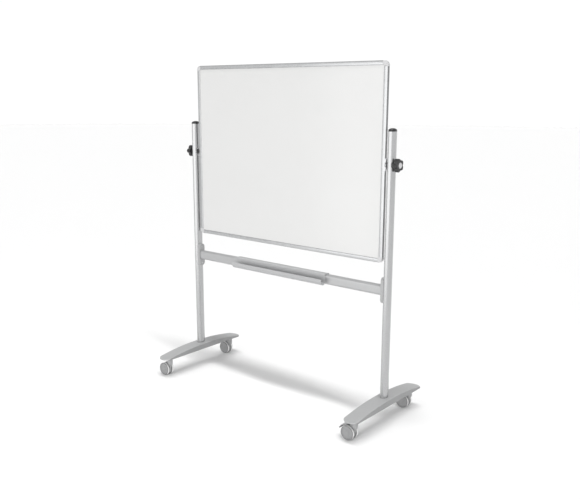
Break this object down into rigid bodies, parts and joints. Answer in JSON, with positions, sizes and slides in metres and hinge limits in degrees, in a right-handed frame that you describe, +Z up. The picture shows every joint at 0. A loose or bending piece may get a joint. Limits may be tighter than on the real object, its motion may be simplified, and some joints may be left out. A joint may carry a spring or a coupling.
{
  "type": "rolling whiteboard",
  "caption": "Double-sided revolving whiteboard clamped between two oval posts on arched feet with twin-wheel casters, with a crossbar and a sliding pen tray.",
  "frame": {"origin": "on the floor, midway between the two posts, under the board's centre", "axes": "+Z up, +X along the board to the right seen from the front, the board's front faces -Y"},
  "size_m": [1.3729, 0.59, 1.685],
  "materials": {
    "enamel": "glossy white enamelled steel writing surface",
    "core": "fibre board core",
    "aluminium": "satin anodised extrusion",
    "corner_plastic": "light grey moulded plastic",
    "silver_paint": "silver powder coat",
    "grey_casting": "light grey powder-coated casting",
    "steel": "zinc plated",
    "black_plastic": "black moulded plastic, fine texture",
    "caster_plastic": "grey moulded nylon",
    "wheel_plastic": "grey moulded nylon tread"
  },
  "bodies": {
    "stand": {"post_left": "silver_paint", "post_cap_left": "black_plastic", "post_plug_left": "steel", "pivot_bush_left": "steel", "foot_left": "grey_casting", "foot_bolt_left": "steel", "crossbar_bracket_left": "grey_casting", "post_right": "silver_paint", "post_cap_right": "black_plastic", "post_plug_right": "steel", "pivot_bush_right": "steel", "foot_right": "grey_casting", "foot_bolt_right": "steel", "crossbar_bracket_right": "grey_casting", "crossbar": "silver_paint", "caster_front_left_stem": "steel", "caster_front_right_stem": "steel", "caster_back_left_stem": "steel", "caster_back_right_stem": "steel"},
    "board": {"writing_surface_front": "enamel", "writing_surface_back": "enamel", "board_core": "core", "frame_rail_top": "aluminium", "frame_rail_bottom": "aluminium", "frame_rail_left": "aluminium", "frame_rail_right": "aluminium", "corner_cap_top_left": "corner_plastic", "corner_cap_top_right": "corner_plastic", "corner_cap_bottom_left": "corner_plastic", "corner_cap_bottom_right": "corner_plastic", "pivot_plate_left": "steel", "pivot_stud_left": "steel", "pivot_spacer_left": "black_plastic", "pivot_plate_right": "steel", "pivot_stud_right": "steel", "pivot_spacer_right": "black_plastic"},
    "pen_tray": {"pen_tray": "aluminium"},
    "knob_left": {"knob_left": "black_plastic", "knob_disc_left": "steel"},
    "knob_right": {"knob_right": "black_plastic", "knob_disc_right": "steel"},
    "caster_front_left": {"caster_front_left_hood": "caster_plastic", "caster_front_left_axle": "steel"},
    "caster_front_left_wheel_front": {"caster_front_left_wheel_front": "wheel_plastic"},
    "caster_front_left_wheel_back": {"caster_front_left_wheel_back": "wheel_plastic"},
    "caster_front_right": {"caster_front_right_hood": "caster_plastic", "caster_front_right_axle": "steel"},
    "caster_front_right_wheel_front": {"caster_front_right_wheel_front": "wheel_plastic"},
    "caster_front_right_wheel_back": {"caster_front_right_wheel_back": "wheel_plastic"},
    "caster_front_right_brake_lever": {"caster_front_right_brake_lever": "caster_plastic"},
    "caster_back_left": {"caster_back_left_hood": "caster_plastic", "caster_back_left_axle": "steel"},
    "caster_back_left_wheel_front": {"caster_back_left_wheel_front": "wheel_plastic"},
    "caster_back_left_wheel_back": {"caster_back_left_wheel_back": "wheel_plastic"},
    "caster_back_right": {"caster_back_right_hood": "caster_plastic", "caster_back_right_axle": "steel"},
    "caster_back_right_wheel_front": {"caster_back_right_wheel_front": "wheel_plastic"},
    "caster_back_right_wheel_back": {"caster_back_right_wheel_back": "wheel_plastic"},
    "caster_back_right_brake_lever": {"caster_back_right_brake_lever": "caster_plastic"}
  },
  "joints": [
    {"name": "board_tilt", "type": "hinge", "parent": "stand", "child": "board", "pos_m": [0, 0, 1.235], "axis": [1, 0, 0], "continuous": true},
    {"name": "knob_turn_left", "type": "hinge", "parent": "board", "child": "knob_left", "pos_m": [-0.66, 0, 1.235], "axis": [-1, 0, 0], "range_deg": [0, 360]},
    {"name": "knob_turn_right", "type": "hinge", "parent": "board", "child": "knob_right", "pos_m": [0.66, 0, 1.235], "axis": [1, 0, 0], "range_deg": [0, 360]},
    {"name": "tray_slide", "type": "slide", "parent": "stand", "child": "pen_tray", "axis": [1, 0, 0], "range_m": [-0.28, 0.318]},
    {"name": "caster_front_left_swivel", "type": "hinge", "parent": "stand", "child": "caster_front_left", "pos_m": [-0.63, -0.236, 0.08], "axis": [0, 0, 1], "continuous": true},
    {"name": "caster_front_left_wheel_front_spin", "type": "hinge", "parent": "caster_front_left", "child": "caster_front_left_wheel_front", "pos_m": [-0.662, -0.2496, 0.035], "axis": [0, 1, 0], "continuous": true},
    {"name": "caster_front_left_wheel_back_spin", "type": "hinge", "parent": "caster_front_left", "child": "caster_front_left_wheel_back", "pos_m": [-0.662, -0.2224, 0.035], "axis": [0, 1, 0], "continuous": true},
    {"name": "caster_front_right_swivel", "type": "hinge", "parent": "stand", "child": "caster_front_right", "pos_m": [0.63, -0.236, 0.08], "axis": [0, 0, 1], "continuous": true},
    {"name": "caster_front_right_wheel_front_spin", "type": "hinge", "parent": "caster_front_right", "child": "caster_front_right_wheel_front", "pos_m": [0.598, -0.2496, 0.035], "axis": [0, 1, 0], "continuous": true},
    {"name": "caster_front_right_wheel_back_spin", "type": "hinge", "parent": "caster_front_right", "child": "caster_front_right_wheel_back", "pos_m": [0.598, -0.2224, 0.035], "axis": [0, 1, 0], "continuous": true},
    {"name": "caster_front_right_brake", "type": "hinge", "parent": "caster_front_right", "child": "caster_front_right_brake_lever", "pos_m": [0.5905, -0.236, 0.0633], "axis": [0, -1, 0], "range_deg": [0, 15]},
    {"name": "caster_back_left_swivel", "type": "hinge", "parent": "stand", "child": "caster_back_left", "pos_m": [-0.63, 0.236, 0.08], "axis": [0, 0, 1], "continuous": true},
    {"name": "caster_back_left_wheel_front_spin", "type": "hinge", "parent": "caster_back_left", "child": "caster_back_left_wheel_front", "pos_m": [-0.662, 0.2224, 0.035], "axis": [0, 1, 0], "continuous": true},
    {"name": "caster_back_left_wheel_back_spin", "type": "hinge", "parent": "caster_back_left", "child": "caster_back_left_wheel_back", "pos_m": [-0.662, 0.2496, 0.035], "axis": [0, 1, 0], "continuous": true},
    {"name": "caster_back_right_swivel", "type": "hinge", "parent": "stand", "child": "caster_back_right", "pos_m": [0.63, 0.236, 0.08], "axis": [0, 0, 1], "continuous": true},
    {"name": "caster_back_right_wheel_front_spin", "type": "hinge", "parent": "caster_back_right", "child": "caster_back_right_wheel_front", "pos_m": [0.598, 0.2224, 0.035], "axis": [0, 1, 0], "continuous": true},
    {"name": "caster_back_right_wheel_back_spin", "type": "hinge", "parent": "caster_back_right", "child": "caster_back_right_wheel_back", "pos_m": [0.598, 0.2496, 0.035], "axis": [0, 1, 0], "continuous": true},
    {"name": "caster_back_right_brake", "type": "hinge", "parent": "caster_back_right", "child": "caster_back_right_brake_lever", "pos_m": [0.5905, 0.236, 0.0633], "axis": [0, -1, 0], "range_deg": [0, 15]}
  ]
}
